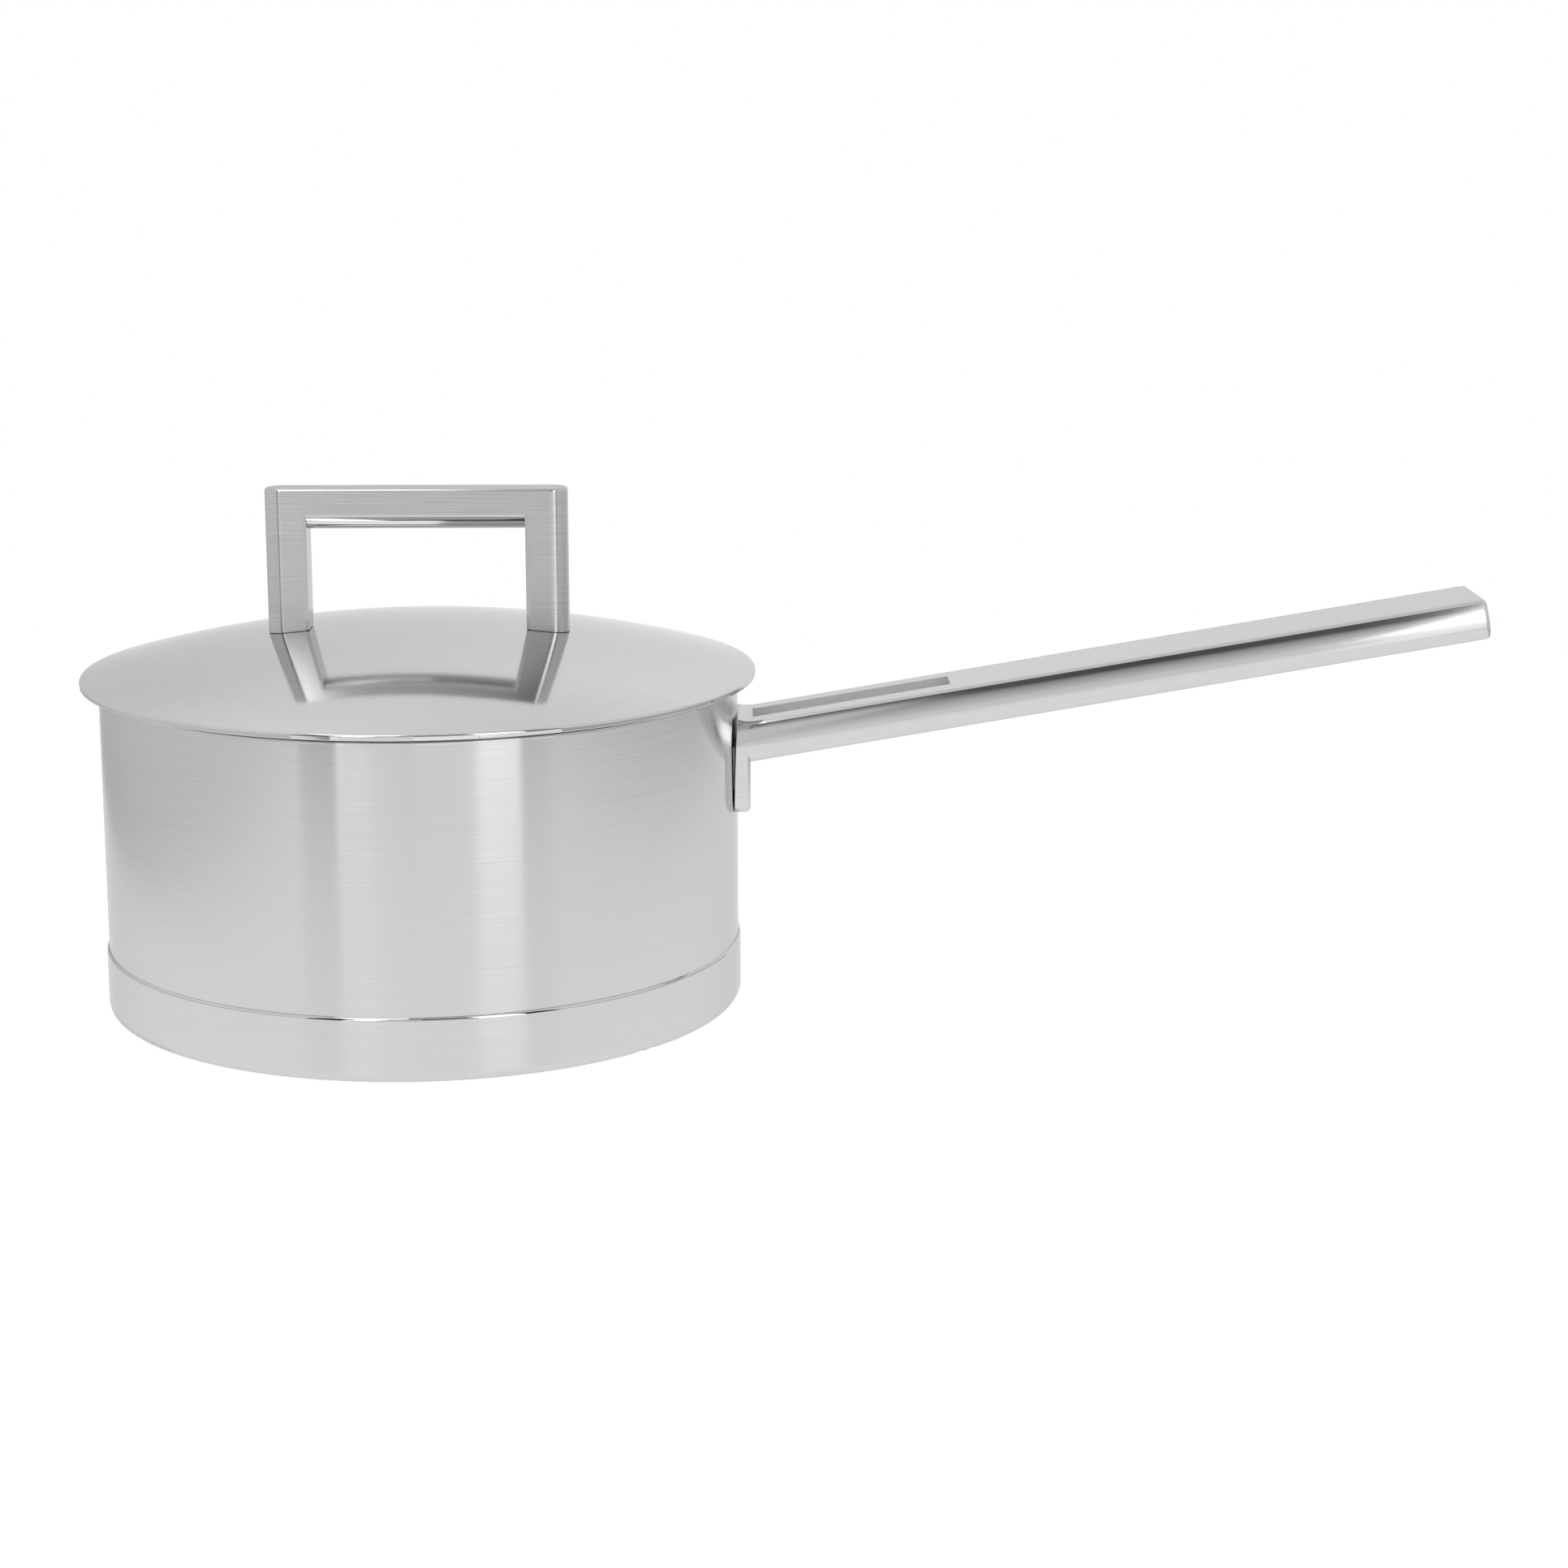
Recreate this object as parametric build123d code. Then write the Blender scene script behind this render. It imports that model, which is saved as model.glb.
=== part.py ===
from build123d import *
import math
import os

# Saucepan with a domed steel lid, in millimetres.
# The origin is the centre of the base's underside, +Z is up and the long handle points along +X.

# Vessel: a straight-sided pot drawn from sheet steel
vessel_radius = 91.5
vessel_height = 93.35
wall_thickness = 1.2
floor_thickness = 1.5
vessel_corner_radius = 6.0
rim_edge_radius = 0.35

# Base: a conductive disc sealed under the vessel by a steel cap that laps up the wall
core_thickness = 5.5
cap_floor_thickness = 1.0
cap_wall_thickness = 0.6
cap_height = 18.5
cap_corner_radius = 2.8
cap_edge_radius = 1.1
cap_fit = 0.05

# Long handle: a bar with a flat top, bulging sides and a rounded underside, tilted up from the wall
handle_length = 216.4
handle_width = 31.0
handle_depth = 12.0
handle_crown = 0.4
handle_tilt = 9.45
handle_root_height = 82.2
handle_top_radius = 1.6
handle_side_radius = 11.5
handle_side_flat = 0.6
handle_bottom_radius = 4.4
handle_tip_radius = 1.2

# Root of the handle, where the bar flares into the foot and laps up the wall
root_length = 8.0
root_lip = 1.4
root_stations = 6

# Slot through the handle, which slows the heat
slot_start = 4.5
slot_length = 57.5
slot_width = 12.2

# Foot of the handle, a plate welded flat to the wall
foot_bottom_height = 56.1
foot_thickness = 3.7
foot_corner_radius = 4.0
foot_edge_radius = 1.8
foot_seam_low = 0.25
foot_seam_high = 0.95
weld_inset = 6.0

# Lid: a spherical dome over an inner shell, which sits on the rim and drops a skirt inside it
lid_overhang = 5.2
lid_rise = 13.5
lid_sheet = 1.5
lid_upper_edge_radius = 0.6
lid_lower_edge_radius = 0.2
lid_clearance = 0.5
inner_sheet = 0.8
flange_overhang = 2.7
seat_drop = 1.61
skirt_clearance = 0.6
skirt_depth = 5.4
skirt_corner_radius = 3.0

# Loop handle on the lid
loop_length = 86.4
loop_height = 39.2
loop_depth = 10.4
loop_bar_height = 11.7
loop_leg_width = 12.1
loop_corner_radius = 5.0
loop_edge_radius = 0.9
loop_finger_radius = 4.4
loop_seam = 0.2
loop_weld_inset = 1.0

# Heights and radii that follow from the sizes above
core_bottom = cap_floor_thickness
vessel_bottom = core_bottom + core_thickness
vessel_bore = vessel_radius - wall_thickness
cap_bore = vessel_radius + cap_fit
cap_radius = cap_bore + cap_wall_thickness
cap_inner_corner_radius = cap_corner_radius - cap_wall_thickness

lid_radius = vessel_radius + lid_overhang
inner_flange_radius = vessel_radius + flange_overhang
dome_radius = (lid_radius**2 + lid_rise**2) / (2 * lid_rise)
inner_dome_radius = dome_radius - lid_sheet
flange_radius_below = inner_dome_radius - inner_sheet
seat_radius = vessel_radius - rim_edge_radius
seat_bottom = vessel_height + lid_clearance
dome_centre = seat_bottom + seat_drop - math.sqrt(flange_radius_below**2 - seat_radius**2)
dome_top = dome_centre + dome_radius
skirt_radius = vessel_bore - skirt_clearance
skirt_bottom = vessel_height - skirt_depth

half_width = handle_width / 2
tilt = math.radians(handle_tilt)
handle_plane = Plane(
    origin=(vessel_radius, 0, handle_root_height),
    x_dir=(0, 1, 0),
    z_dir=(math.cos(tilt), 0, math.sin(tilt)),
)


def area(low_x, low_y, high_x, high_y):
    """Rectangle between two corners."""
    centre = Pos((low_x + high_x) / 2, (low_y + high_y) / 2)
    return centre * Rectangle(high_x - low_x, high_y - low_y)


def rounded(face, x, y, radius):
    """The face with its corner nearest to (x, y) rounded."""
    corner = face.vertices().sort_by_distance(Vector(x, y))[0]
    return fillet(corner, radius)


def turned(face):
    """Solid of revolution about the pot's axis, from a face drawn as radius and height."""
    return revolve(Plane.XZ * face, axis=Axis.Z)


def vessel():
    outside = area(0, vessel_bottom, vessel_radius, vessel_height)
    outside = rounded(outside, vessel_radius, vessel_bottom, vessel_corner_radius)
    floor = vessel_bottom + floor_thickness
    inside = area(0, floor, vessel_bore, vessel_height + wall_thickness)
    inside = rounded(inside, vessel_bore, floor, vessel_corner_radius - wall_thickness)
    wall = outside - inside
    wall = rounded(wall, vessel_bore, vessel_height, rim_edge_radius)
    wall = rounded(wall, vessel_radius, vessel_height, rim_edge_radius)
    return turned(wall)


def base_core():
    disc = area(0, core_bottom, vessel_radius, vessel_bottom)
    return turned(rounded(disc, vessel_radius, core_bottom, cap_inner_corner_radius))


def base_cap():
    outside = area(0, 0, cap_radius, cap_height)
    outside = rounded(outside, cap_radius, 0, cap_corner_radius)
    outside = rounded(outside, cap_radius, cap_height, cap_edge_radius)
    inside = area(0, core_bottom, cap_bore, 2 * cap_height)
    inside = rounded(inside, cap_bore, core_bottom, cap_inner_corner_radius)
    return turned(outside - inside)


def handle_section(flare):
    """Section of the handle, from the plain bar at flare 0 to its root against the wall at flare 1."""
    top = root_lip * flare**2
    side = handle_depth - handle_crown
    bulge = side - handle_bottom_radius - handle_side_flat
    block = area(-half_width, -side, half_width, top)
    under = ThreePointArc((-half_width, -side), (0, -handle_depth), (half_width, -side))
    section = block + make_face(under + Line((half_width, -side), (-half_width, -side)))
    for end in (-1, 1):
        section = section - bulge_corner(end, top, bulge)
    for x in (-half_width, half_width):
        section = rounded(section, x, top, handle_top_radius)
        section = rounded(section, x, -side, handle_bottom_radius)
    return section


def bulge_corner(end, top, bulge):
    """The corner that the bulging side leaves off the block, on the side of end."""
    reach = bulge + top
    inset = handle_side_radius - math.sqrt(handle_side_radius**2 - reach**2)
    low = (end * half_width, -bulge)
    high = (end * (half_width - inset), top)
    centre = Vector(end * (half_width - handle_side_radius), -bulge)
    middle = centre + (Vector(*low) + Vector(*high) - 2 * centre).normalized() * handle_side_radius
    corner = (end * half_width, top)
    return make_face(ThreePointArc(low, middle, high) + Polyline(high, corner, low))


def handle_root():
    """The flared root, lofted through sections between the wall and the plain bar."""
    steps = [i / (root_stations - 1) for i in range(root_stations)]
    sections = [handle_plane.offset(root_length * u) * handle_section((1 - u) ** 2) for u in steps]
    return loft(sections) + extrude(sections[0], -handle_depth)


def handle_bar():
    bar = extrude(handle_plane.offset(root_length) * handle_section(0), handle_length - root_length)
    tip = bar.faces().sort_by(Axis.X)[-1]
    return fillet(tip.edges(), handle_tip_radius)


def handle_foot():
    top = handle_root_height - handle_depth / 2
    outline = area(-half_width, foot_bottom_height, half_width, top)
    for y in (-half_width, half_width):
        outline = rounded(outline, y, foot_bottom_height, foot_corner_radius)
    plate = extrude(Plane.YZ * outline, vessel_radius + foot_thickness)
    outer = plate.faces().sort_by(Axis.X)[-1]
    edges = outer.edges().sort_by(Axis.Z)[:-1]
    return fillet(edges, foot_edge_radius)


def weld_pad():
    low = foot_bottom_height + weld_inset
    high = handle_root_height - handle_top_radius - weld_inset
    outline = area(weld_inset - half_width, low, half_width - weld_inset, high)
    return extrude(Plane.YZ * outline, vessel_radius + foot_thickness / 2)


def seam_cone():
    """The wall with the narrow gap round the weld, which widens upwards."""
    rise = handle_root_height - foot_bottom_height
    low = vessel_radius + 2 * foot_seam_low - foot_seam_high
    high = vessel_radius + 2 * foot_seam_high - foot_seam_low
    middle = Pos(0, 0, foot_bottom_height + rise / 2)
    return middle * Cone(low, high, 3 * rise)


def long_handle():
    slot_middle = slot_start + slot_length / 2
    slot = handle_plane * Pos(0, 0, slot_middle) * Box(slot_width, 4 * handle_depth, slot_length)
    handle = handle_bar() + handle_root() + handle_foot()
    handle = handle - seam_cone() - slot
    return handle + (weld_pad() - Cylinder(vessel_radius, 4 * vessel_height))


def dome_band(outer, inner, reach):
    """Section of a spherical sheet between two radii, as far out as reach."""
    band = Circle(outer) - Circle(inner)
    return Pos(0, dome_centre) * (band & area(0, 0, reach, outer))


def lid_outer_shell():
    """The dome, cut off upright at its edge, with both corners rounded."""
    sheet = dome_band(dome_radius, inner_dome_radius, lid_radius)
    top = dome_centre + math.sqrt(dome_radius**2 - lid_radius**2)
    bottom = dome_centre + math.sqrt(inner_dome_radius**2 - lid_radius**2)
    sheet = rounded(sheet, lid_radius, top, lid_upper_edge_radius)
    sheet = rounded(sheet, lid_radius, bottom, lid_lower_edge_radius)
    return turned(sheet)


def lid_inner_shell():
    flange = dome_band(inner_dome_radius, flange_radius_below, inner_flange_radius)
    lens = Pos(0, dome_centre) * Circle(inner_dome_radius)
    block = lens & area(0, skirt_bottom, skirt_radius, dome_top)
    block = rounded(block, skirt_radius, skirt_bottom, skirt_corner_radius)
    seat = lens & area(0, seat_bottom, seat_radius, dome_top)
    bore = skirt_radius - inner_sheet
    floor = skirt_bottom + inner_sheet
    hollow = area(0, floor, bore, dome_top)
    hollow = rounded(hollow, bore, floor, skirt_corner_radius - inner_sheet)
    return turned(flange + block + seat - hollow)


def dome_ball(radius):
    return Pos(0, 0, dome_centre) * Sphere(radius)


def loop_leg_plan():
    """Plan of the leg on the +X side, with a round outer end."""
    outer = loop_length / 2
    side = loop_depth / 2
    plan = area(outer - loop_leg_width, -side, outer, side)
    for y in (-side, side):
        plan = rounded(plan, outer, y, loop_corner_radius)
    return plan


def loop_legs(plan, height):
    """Both legs of the loop, from under the dome up to a height."""
    edge = dome_top - lid_rise
    leg = extrude(Pos(0, 0, edge) * plan, height - edge)
    return leg + mirror(leg, Plane.YZ)


def loop_bar(top):
    section = area(-loop_depth / 2, top - loop_bar_height, loop_depth / 2, top)
    return extrude(Plane.YZ * section, loop_length / 2 - loop_leg_width / 2, both=True)


def finger_rounding(bottom):
    """What a round-over cutter takes off the underside of the bar, between the legs."""
    square = area(-loop_depth / 2, bottom, loop_depth / 2, bottom + loop_bar_height)
    rounding = square
    for y in (-loop_depth / 2, loop_depth / 2):
        rounding = rounded(rounding, y, bottom, loop_finger_radius)
    reach = loop_length / 2 - loop_leg_width
    return extrude(Plane.YZ * (square - rounding), reach, both=True)


def lid_handle():
    top = dome_top + loop_height
    plan = loop_leg_plan()
    loop = loop_legs(plan, top) + loop_bar(top)
    loop = fillet(loop.faces().sort_by(Axis.Z)[-1].edges(), loop_edge_radius)
    loop = loop - finger_rounding(top - loop_bar_height)
    pads = loop_legs(offset(plan, -loop_weld_inset), top - loop_bar_height)
    return loop - dome_ball(dome_radius + loop_seam) + (pads - dome_ball(dome_radius))


PIECES = {
    "vessel": vessel,
    "base_core": base_core,
    "base_cap": base_cap,
    "long_handle": long_handle,
    "lid_outer_shell": lid_outer_shell,
    "lid_inner_shell": lid_inner_shell,
    "lid_handle": lid_handle,
}

os.makedirs("parts", exist_ok=True)
for name, make in PIECES.items():
    export_step(make(), f"parts/{name}.step")
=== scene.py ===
import bpy
import math
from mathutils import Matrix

# Saucepan in brushed stainless steel, standing in a white light tent.
# Sizes are in metres, angles in degrees, and the lens and the sensor in millimetres.

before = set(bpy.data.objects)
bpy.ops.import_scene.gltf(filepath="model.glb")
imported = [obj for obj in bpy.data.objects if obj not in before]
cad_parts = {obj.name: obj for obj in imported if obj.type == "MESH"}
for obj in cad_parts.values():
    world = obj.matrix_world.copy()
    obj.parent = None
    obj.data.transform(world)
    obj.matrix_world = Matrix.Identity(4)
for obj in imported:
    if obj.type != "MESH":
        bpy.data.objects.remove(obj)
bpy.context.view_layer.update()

# Camera
camera_place = (0.0876, -0.9411, 0.2697)
camera_pitch = 12.46
camera_yaw = -1.055
camera_lens = 75.90
camera_sensor = 36.0

# Light tent: white walls round the pan, open towards the camera
table_front = -0.50
table_back = 0.55
table_left = -0.90
table_right = 1.10
tent_top = 0.80
foot_high = 0.13
back_fade = (-0.25, 0.15)
back_rows = (0.0, 0.42, 0.47, 0.52, 0.57, 0.62, tent_top)
wall_left = ((-0.300, -0.44), (-0.217, 0.30))
wall_right = ((0.400, -0.36), (0.400, 0.35))
brow_y = -0.44
brow_reach = (-0.30, -0.04, 0.46)
opening_top = 0.57
lamp_drop = 0.01
panel_half = 0.5

# Brightness of the tent as the steel mirrors it, where 1 is white
table_glow = 0.93
back_left_glow = 0.80
back_right_glow = 0.99
back_end_glow = 0.84
back_top_left_glow = 0.94
back_top_right_glow = 0.79
left_foot_glow = 0.60
left_glow = 0.77
right_foot_glow = 0.42
right_glow = 0.76
top_glow = 0.70
brow_glow = 0.30
lamp_glow = 1.8
room_glow = 0.05
lamp_reach = ((-0.30, -0.43), (-0.04, 0.20))

# The table as the camera sees it: paper, and the light that lifts it to white
paper_white = 0.5
paper_lift = 0.73

# Outside the opening: a dim front, a pale card that fades to the right, and two upright soft lights
front_y = -1.09
front_low = -0.60
front_high = 0.20
front_glow = 0.30
front_sides = (-2.0, 2.0)
front_behind = 0.02
lights_before = 0.01
card_sides = (-0.474, 0.465)
card_middle = 0.05
card_split = -0.10
card_high = 0.95
card_right_high = 0.80
card_foot_glow = 0.74
card_low_glow = 0.90
card_right_foot_glow = 0.86
card_right_low_glow = 1.08
card_left_glow = 0.84
card_middle_glow = 0.68
card_right_glow = 0.86
card_top_glow = 0.25
lights_high = 2.00
left_light = (-0.474, -0.400)
left_light_edge = (-0.400, -0.254)
left_edge_low = 0.38
edge_glow = 3.2
left_light_low = 0.30
left_light_glow = 1.35
left_strip = (-0.474, -0.41)
strip_glow = 1.0
right_light = (0.465, 0.850)
right_light_top = (0.440, 0.850)
right_light_split = 0.15
right_light_low_glow = 1.15
light_glow = 2.2

# Where the steel turns from satin to polished, and where the handle is milled
rim_polish_height = 0.0927
cap_polish_height = 0.0174
lid_polish_radius = 0.0961
finger_polish_height = 0.1418
finger_polish_reach = 0.0322
slot_reach = (0.1081, 0.1660)
slot_half_width = 0.00615
handle_tilt = 9.45
place_soft = 0.0001

# Colours of the metals, with painted light in the handle's steel and painted shade in the loop's
steel = (0.70, 0.70, 0.697)
# The handle is the wall's steel painted a little lighter: painted light for the light that falls on it
handle_lit_colour = (0.71, 0.71, 0.707)
# The loop is the wall's steel painted darker: painted shade for the light that falls on it
loop_shaded_colour = (0.61, 0.61, 0.607)
aluminium = (0.78, 0.79, 0.80)
edge_tint = (0.8, 0.8, 0.8, 1.0)

# Roughness of each finish, and how far its brushing draws out the shine
polished = 0.05
milled = 0.45
wall_satin = 0.18
wall_brushing = 1.0
core_satin = 0.35
core_brushing = 0.5
lid_satin = 0.08
lid_brushing = 0.3
inner_satin = 0.2
inner_brushing = 0.8
handle_satin = 0.14
handle_brushing = 0.7
loop_satin = 0.18
loop_brushing = 0.8
satin_change = 0.015

# Grain of the brushing: length and width, its noise, and how deep and how strong in colour it is
turned_grain = (0.04, 0.00025)
straight_grain = (0.03, 0.00028)
grain_detail = 3.0
grain_roughness = 0.65
grain_low = 0.3
grain_high = 0.7
grain_height = 0.00004
turned_depth = 0.05
handle_depth = 0.03
loop_depth = 0.12
grain_contrast = 0.035
loop_contrast = 0.09
handle_sideways = 1.0
loop_sideways = 0.2


def add_node(tree, kind, **settings):
    """A new node in the tree, with its settings made."""
    made = tree.nodes.new(kind)
    for name, value in settings.items():
        setattr(made, name, value)
    return made


def feed(tree, socket, value):
    """Links an output to the socket, or writes a plain value on it."""
    if isinstance(value, bpy.types.NodeSocket):
        tree.links.new(value, socket)
    else:
        socket.default_value = value


def calculate(tree, operation, *values):
    """The result of an operation on numbers."""
    made = add_node(tree, "ShaderNodeMath", operation=operation)
    for socket, value in zip(made.inputs, values):
        feed(tree, socket, value)
    return made.outputs["Value"]


def on_vectors(tree, operation, *values):
    """The result of an operation on vectors."""
    made = add_node(tree, "ShaderNodeVectorMath", operation=operation)
    for socket, value in zip(made.inputs, values):
        feed(tree, socket, value)
    return made.outputs["Value"] if operation == "LENGTH" else made.outputs["Vector"]


def spread(tree, value, low, high, to_low, to_high):
    """The value, mapped from one range to another and held inside it."""
    made = add_node(tree, "ShaderNodeMapRange")
    for name, number in zip(
        ("Value", "From Min", "From Max", "To Min", "To Max"),
        (value, low, high, to_low, to_high),
    ):
        feed(tree, made.inputs[name], number)
    return made.outputs["Result"]


def below(tree, value, limit):
    """1 where the value is under the limit, 0 where it is over it."""
    return spread(tree, value, limit - place_soft, limit + place_soft, 1.0, 0.0)


def above(tree, value, limit):
    """1 where the value is over the limit, 0 where it is under it."""
    return spread(tree, value, limit - place_soft, limit + place_soft, 0.0, 1.0)


def streaks(tree, place, length, width):
    """Noise drawn out along the first two axes and fine along the third."""
    scale = (1 / length, 1 / length, 1 / width)
    noise = add_node(tree, "ShaderNodeTexNoise")
    noise.inputs["Scale"].default_value = 1.0
    noise.inputs["Detail"].default_value = grain_detail
    noise.inputs["Roughness"].default_value = grain_roughness
    feed(tree, noise.inputs["Vector"], on_vectors(tree, "MULTIPLY", place, scale))
    return noise.outputs["Fac"]


def shade(tree, colour, grain, low, high):
    """The colour, from low to high times as bright as the grain goes from its low to its high."""
    made = add_node(tree, "ShaderNodeMix", data_type="RGBA")
    feed(tree, made.inputs["Factor"], spread(tree, grain, grain_low, grain_high, 0.0, 1.0))
    sockets = [s for s in made.inputs if s.type == "RGBA"]
    sockets[0].default_value = tuple(low * c for c in colour) + (1.0,)
    sockets[1].default_value = tuple(high * c for c in colour) + (1.0,)
    return [s for s in made.outputs if s.type == "RGBA"][0]


def blend(tree, share, first, second):
    """A number between the first and the second, by the share."""
    made = add_node(tree, "ShaderNodeMix", data_type="FLOAT")
    feed(tree, made.inputs["Factor"], share)
    feed(tree, made.inputs["A"], first)
    feed(tree, made.inputs["B"], second)
    return made.outputs["Result"]


def start_metal(name, brushing):
    """A metal with nothing yet on it but its brushing."""
    made = bpy.data.materials.new(name)
    made.use_nodes = True
    tree = made.node_tree
    metal = tree.nodes["Principled BSDF"]
    metal.inputs["Metallic"].default_value = 1.0
    metal.inputs["Specular Tint"].default_value = edge_tint
    metal.inputs["Anisotropic"].default_value = brushing
    return made, tree, metal


def finish_metal(tree, metal, colour, grain, across, satin, places, depth, contrast):
    """Colour, roughness, bump and brushing, from the grain and from places with their own finish."""
    feed(tree, metal.inputs["Base Color"], shade(tree, colour, grain, 1.0 - contrast, 1.0 + contrast))
    rough = spread(tree, grain, grain_low, grain_high, satin - satin_change, satin + satin_change)
    for share, finish in places:
        rough = blend(tree, share, rough, finish)
        depth = calculate(tree, "MULTIPLY", calculate(tree, "SUBTRACT", 1.0, share), depth)
    feed(tree, metal.inputs["Roughness"], rough)
    bump = add_node(tree, "ShaderNodeBump")
    bump.inputs["Distance"].default_value = grain_height
    feed(tree, bump.inputs["Strength"], depth)
    feed(tree, bump.inputs["Height"], grain)
    feed(tree, metal.inputs["Normal"], bump.outputs["Normal"])
    feed(tree, metal.inputs["Tangent"], across)


def turned_steel(name, colour, satin, brushing, polish_height=None, polish_radius=None):
    """Steel brushed round the pan's axis, and polished past a height or a radius."""
    made, tree, metal = start_metal(name, brushing)
    place = add_node(tree, "ShaderNodeTexCoord").outputs["Object"]
    split = add_node(tree, "ShaderNodeSeparateXYZ")
    feed(tree, split.inputs["Vector"], place)
    outward = on_vectors(tree, "MULTIPLY", place, (1.0, 1.0, 0.0))
    radius = on_vectors(tree, "LENGTH", outward)
    ring = add_node(tree, "ShaderNodeCombineXYZ")
    feed(tree, ring.inputs["X"], split.outputs["X"])
    feed(tree, ring.inputs["Y"], split.outputs["Y"])
    feed(tree, ring.inputs["Z"], calculate(tree, "ADD", radius, split.outputs["Z"]))
    grain = streaks(tree, ring.outputs["Vector"], *turned_grain)
    up = (0.0, 0.0, 1.0)
    across = on_vectors(tree, "ADD", on_vectors(tree, "NORMALIZE", outward), up)
    places = []
    if polish_height is not None:
        places.append((above(tree, split.outputs["Z"], polish_height), polished))
    if polish_radius is not None:
        places.append((above(tree, radius, polish_radius), polished))
    finish_metal(tree, metal, colour, grain, across, satin, places, turned_depth, grain_contrast)
    return made


def bar_grain(tree, tilt, sideways):
    """Place on a bar that rises from +X by the tilt, with its grain, also sideways, and its brushing."""
    turned = add_node(tree, "ShaderNodeMapping")
    turned.inputs["Rotation"].default_value = (0.0, tilt, 0.0)
    feed(tree, turned.inputs["Vector"], add_node(tree, "ShaderNodeTexCoord").outputs["Object"])
    split = add_node(tree, "ShaderNodeSeparateXYZ")
    feed(tree, split.inputs["Vector"], turned.outputs["Vector"])
    bar = add_node(tree, "ShaderNodeCombineXYZ")
    feed(tree, bar.inputs["X"], split.outputs["X"])
    height = calculate(tree, "MULTIPLY_ADD", split.outputs["Y"], sideways, split.outputs["Z"])
    feed(tree, bar.inputs["Z"], height)
    grain = streaks(tree, bar.outputs["Vector"], *straight_grain)
    across = add_node(tree, "ShaderNodeCombineXYZ")
    across.inputs["Y"].default_value = 1.0
    across.inputs["Z"].default_value = 1.0
    return split.outputs, grain, across.outputs["Vector"]


def handle_metal():
    """Fine satin all over the long handle, with a milled slot."""
    made, tree, metal = start_metal("handle_satin", handle_brushing)
    along, grain, across = bar_grain(tree, math.radians(handle_tilt), handle_sideways)
    inside = below(tree, calculate(tree, "ABSOLUTE", along["Y"]), slot_half_width)
    from_root = above(tree, along["X"], slot_reach[0])
    to_end = below(tree, along["X"], slot_reach[1])
    slot = calculate(tree, "MULTIPLY", inside, calculate(tree, "MULTIPLY", from_root, to_end))
    places = [(slot, milled)]
    # The handle's colour carries painted light
    finish_metal(
        tree, metal, handle_lit_colour, grain, across, handle_satin, places, handle_depth, grain_contrast
    )
    return made


def loop_metal():
    """Steel brushed along the loop, and polished under its bar."""
    made, tree, metal = start_metal("loop_satin", loop_brushing)
    along, grain, across = bar_grain(tree, 0.0, loop_sideways)
    under = below(tree, along["Z"], finger_polish_height)
    between = below(tree, calculate(tree, "ABSOLUTE", along["X"]), finger_polish_reach)
    finger = calculate(tree, "MULTIPLY", under, between)
    places = [(finger, polished)]
    # The loop's colour carries painted shade
    finish_metal(
        tree, metal, loop_shaded_colour, grain, across, loop_satin, places, loop_depth, loop_contrast
    )
    return made


def dress(node, material):
    """Puts the material in every slot of a node of the frame."""
    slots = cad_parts[node].data.materials
    for index in range(len(slots)):
        slots[index] = material


def start_stage_material(name):
    """An empty material for the stage."""
    made = bpy.data.materials.new(name)
    made.use_nodes = True
    tree = made.node_tree
    tree.nodes.clear()
    return made, tree


def glow_material(name, low, high=None, along="Y"):
    """A white that shines, evenly or from one strength to another along a panel."""
    made, tree = start_stage_material(name)
    glow = add_node(tree, "ShaderNodeEmission")
    if high is None:
        glow.inputs["Strength"].default_value = low
    else:
        split = add_node(tree, "ShaderNodeSeparateXYZ")
        feed(tree, split.inputs["Vector"], add_node(tree, "ShaderNodeTexCoord").outputs["Object"])
        strength = spread(tree, split.outputs[along], -panel_half, panel_half, low, high)
        feed(tree, glow.inputs["Strength"], strength)
    output = add_node(tree, "ShaderNodeOutputMaterial")
    feed(tree, output.inputs["Surface"], glow.outputs["Emission"])
    return made


def table_material():
    """Lit paper that is lifted to white for the camera, and a plain glow where the steel mirrors it."""
    made, tree = start_stage_material("table_white")
    paper = add_node(tree, "ShaderNodeBsdfDiffuse")
    paper.inputs["Color"].default_value = (paper_white, paper_white, paper_white, 1.0)
    lift = add_node(tree, "ShaderNodeEmission")
    lift.inputs["Strength"].default_value = paper_lift
    seen = add_node(tree, "ShaderNodeAddShader")
    feed(tree, seen.inputs[0], paper.outputs["BSDF"])
    feed(tree, seen.inputs[1], lift.outputs["Emission"])
    mirrored = add_node(tree, "ShaderNodeEmission")
    mirrored.inputs["Strength"].default_value = table_glow
    light = add_node(tree, "ShaderNodeLightPath")
    choice = add_node(tree, "ShaderNodeMixShader")
    glossy = calculate(
        tree, "MAXIMUM", light.outputs["Is Glossy Ray"], light.outputs["Is Transmission Ray"]
    )
    feed(tree, choice.inputs["Fac"], glossy)
    feed(tree, choice.inputs[1], seen.outputs["Shader"])
    feed(tree, choice.inputs[2], mirrored.outputs["Emission"])
    output = add_node(tree, "ShaderNodeOutputMaterial")
    feed(tree, output.inputs["Surface"], choice.outputs["Shader"])
    return made


def panel(name, centre, turn, width, height, material, seen_by_camera=False):
    """A flat panel of the stage."""
    bpy.ops.mesh.primitive_plane_add(size=2 * panel_half, location=centre, rotation=turn)
    made = bpy.context.object
    made.name = name
    made.scale = (width, height, 1.0)
    made.data.materials.append(material)
    made.visible_camera = seen_by_camera


def level(name, z, material, seen_by_camera=False):
    """A level panel over the whole stage."""
    centre = ((table_left + table_right) / 2, (table_front + table_back) / 2, z)
    width = table_right - table_left
    panel(name, centre, (0.0, 0.0, 0.0), width, table_back - table_front, material, seen_by_camera)


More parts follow.
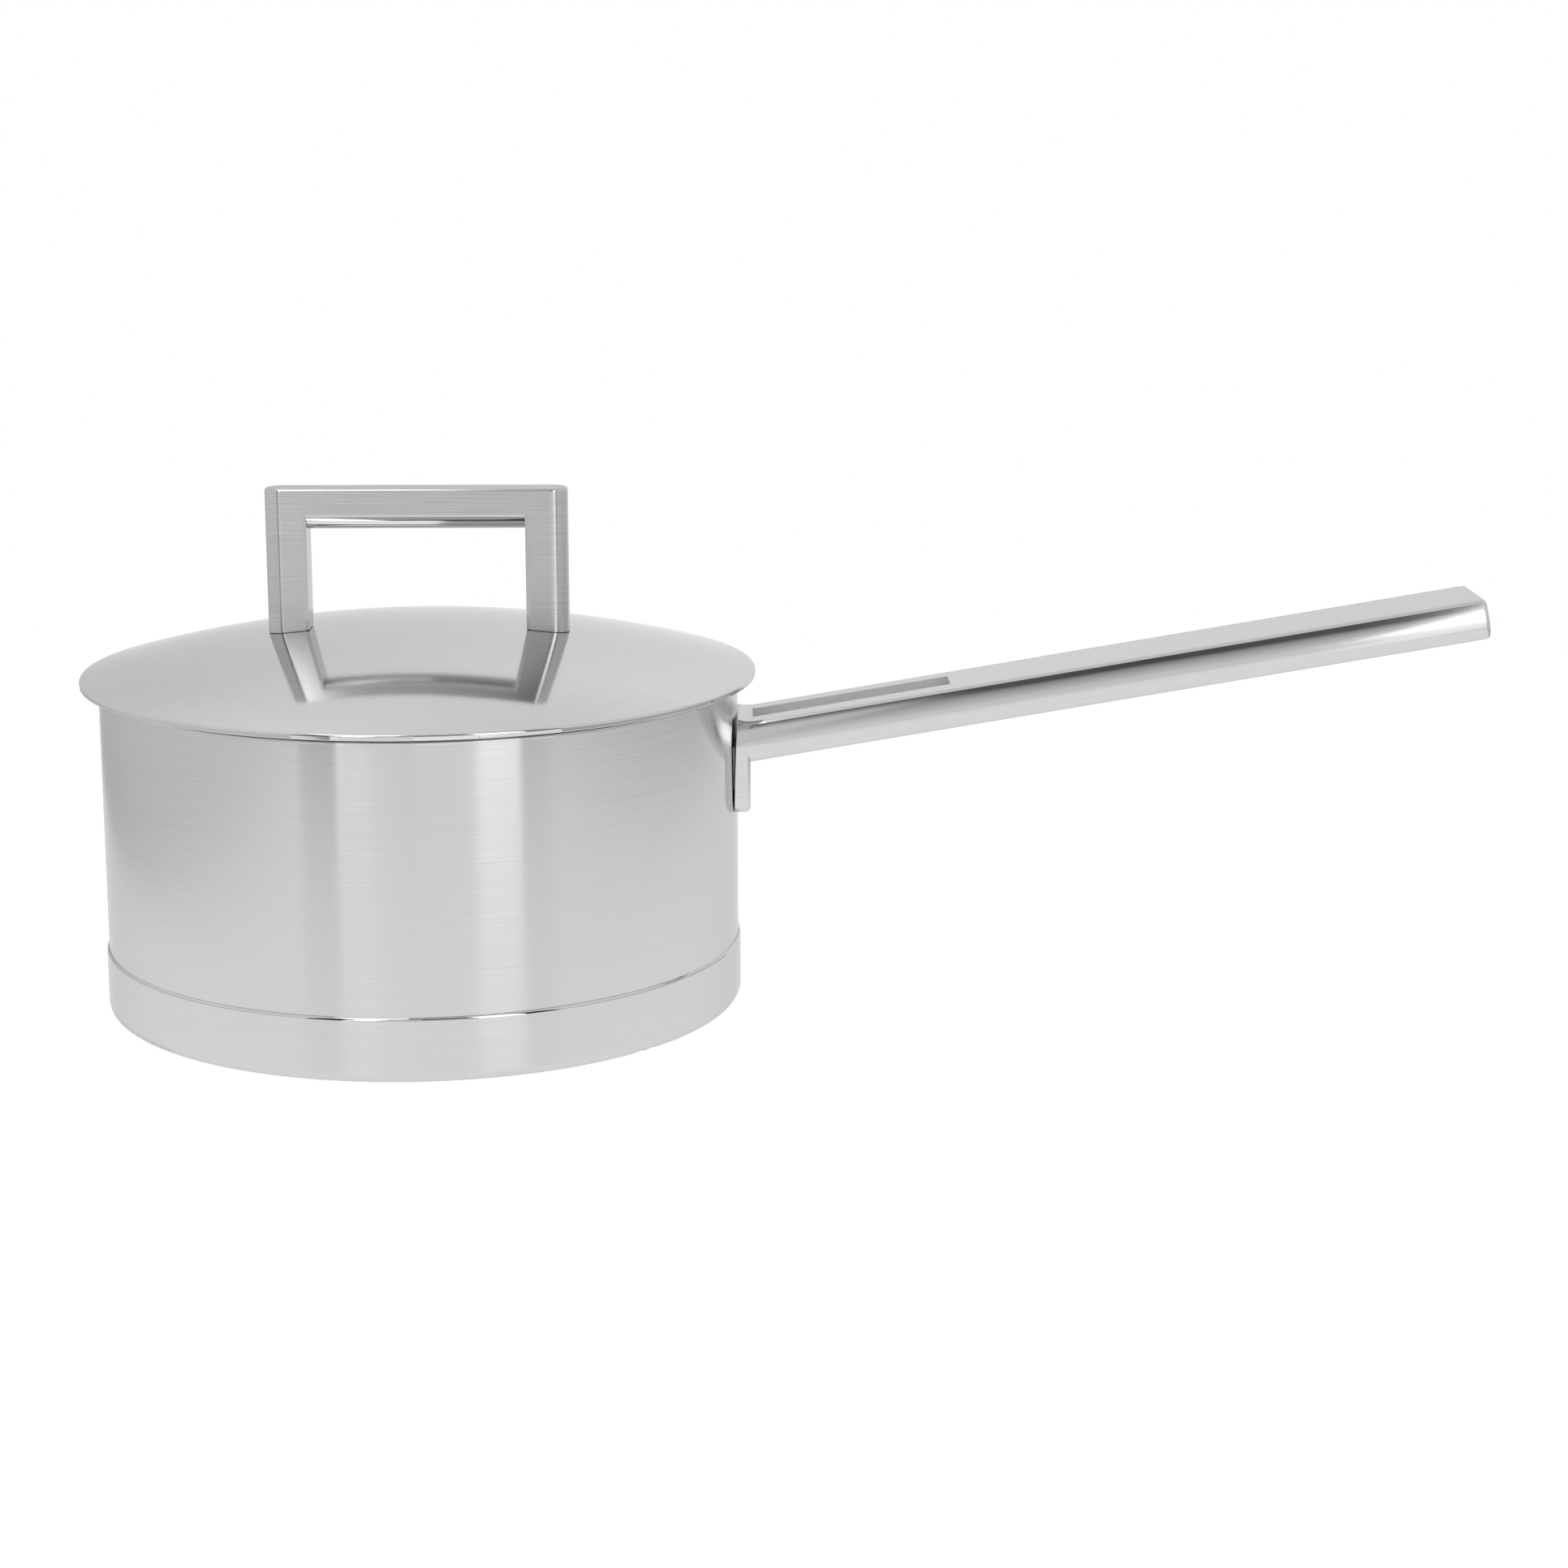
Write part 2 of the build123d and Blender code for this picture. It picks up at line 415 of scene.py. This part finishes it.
def lamp(name, z, reach, glow):
    """A level lamp over part of the table."""
    (left, front), (right, back) = reach
    centre = ((left + right) / 2, (front + back) / 2, z)
    panel(name, centre, (0.0, 0.0, 0.0), right - left, back - front, glow_material(name, glow))


def upright(name, start, end, low, high, *glows, along="Y"):
    """An upright panel between two places on the table, whose glow may change upwards or along it."""
    centre = ((start[0] + end[0]) / 2, (start[1] + end[1]) / 2, (low + high) / 2)
    turn = math.atan2(end[1] - start[1], end[0] - start[0])
    width = math.dist(start, end)
    material = glow_material(name, *glows, along=along)
    panel(name, centre, (math.pi / 2, 0.0, turn), width, high - low, material)


def across_front(name, sides, low, high, *glows, y=front_y, along="Y"):
    """An upright panel across the front, between two sides."""
    upright(name, (sides[0], y), (sides[1], y), low, high, *glows, along=along)


def build_back():
    """The back wall, in rows whose glow goes from the foot's to the head's."""
    places = (table_left, *back_fade, table_right)
    foot = (back_left_glow, back_left_glow, back_right_glow, back_end_glow)
    head = (back_top_left_glow, back_top_left_glow, back_top_right_glow, back_top_right_glow)
    last = len(back_rows) - 2
    for row in range(last + 1):
        glows = [low + (high - low) * row / last for low, high in zip(foot, head)]
        for part in range(len(places) - 1):
            upright(
                f"tent_back_{row}_{part}", (places[part], table_back), (places[part + 1], table_back),
                back_rows[row], back_rows[row + 1], glows[part], glows[part + 1], along="X",
            )


def build_tent():
    """The table, the tent round it, and the cards and lights outside its opening."""
    level("table", 0.0, table_material(), seen_by_camera=True)
    level("tent_roof", tent_top, glow_material("tent_roof", top_glow))
    lamp("roof_lamp", tent_top - lamp_drop, lamp_reach, lamp_glow)
    upright("tent_left_foot", *wall_left, 0.0, foot_high, left_foot_glow, left_glow)
    upright("tent_left", *wall_left, foot_high, tent_top, left_glow)
    upright("tent_right_foot", *wall_right, 0.0, foot_high, right_foot_glow, right_glow)
    upright("tent_right", *wall_right, foot_high, tent_top, right_glow)
    build_back()
    across_front("brow_lamp", brow_reach[:2], opening_top, tent_top, lamp_glow, y=brow_y)
    across_front("tent_brow", brow_reach[1:], opening_top, tent_top, brow_glow, y=brow_y)
    across_front("front_dim", front_sides, front_low, front_high, front_glow, y=front_y - front_behind)
    left_half = (card_sides[0], card_middle)
    right_half = (card_middle, card_sides[1])
    across_front("card_foot", left_half, front_low, card_split, card_foot_glow, card_low_glow)
    across_front("card", left_half, card_split, card_high, card_left_glow, card_middle_glow, along="X")
    across_front(
        "card_right_foot", right_half, front_low, card_split, card_right_foot_glow, card_right_low_glow
    )
    across_front("card_right", right_half, card_split, card_right_high, card_right_glow, card_top_glow)
    in_front = front_y + lights_before
    across_front("strip_left", left_strip, front_low, left_light_low, strip_glow, y=in_front)
    across_front("light_left", left_light, left_light_low, lights_high, left_light_glow, y=in_front)
    across_front("light_left_edge", left_light_edge, left_edge_low, lights_high, edge_glow, y=in_front)
    across_front(
        "light_right_foot", right_light, front_low, right_light_split, right_light_low_glow, y=in_front
    )
    across_front("light_right", right_light_top, right_light_split, lights_high, light_glow, y=in_front)


def build_world():
    """A dim room that is white to the camera."""
    world = bpy.data.worlds.new("room")
    bpy.context.scene.world = world
    world.use_nodes = True
    tree = world.node_tree
    tree.nodes.clear()
    light = add_node(tree, "ShaderNodeLightPath")
    background = add_node(tree, "ShaderNodeBackground")
    background.inputs["Color"].default_value = (1.0, 1.0, 1.0, 1.0)
    strength = spread(tree, light.outputs["Is Camera Ray"], 0.0, 1.0, room_glow, 1.0)
    feed(tree, background.inputs["Strength"], strength)
    output = add_node(tree, "ShaderNodeOutputWorld")
    feed(tree, output.inputs["Surface"], background.outputs["Background"])


def build_camera():
    """The camera, at the photograph's viewing angle."""
    data = bpy.data.cameras.new("camera")
    data.lens = camera_lens
    data.sensor_width = camera_sensor
    made = bpy.data.objects.new("camera", data)
    bpy.context.scene.collection.objects.link(made)
    made.location = camera_place
    made.rotation_euler = (math.radians(90 - camera_pitch), 0.0, math.radians(camera_yaw))
    bpy.context.scene.camera = made


wall_metal = turned_steel("vessel_satin", steel, wall_satin, wall_brushing, polish_height=rim_polish_height)
dress("vessel", wall_metal)
dress("base_core", turned_steel("core_aluminium", aluminium, core_satin, core_brushing))
cap_metal = turned_steel("cap_satin", steel, wall_satin, wall_brushing, polish_height=cap_polish_height)
dress("base_cap", cap_metal)
lid_metal = turned_steel("lid_satin", steel, lid_satin, lid_brushing, polish_radius=lid_polish_radius)
dress("lid_outer_shell", lid_metal)
dress("lid_inner_shell", turned_steel("inner_satin", steel, inner_satin, inner_brushing))
dress("long_handle", handle_metal())
dress("lid_handle", loop_metal())

build_tent()
build_world()
build_camera()
bpy.context.scene.view_settings.view_transform = "Standard"
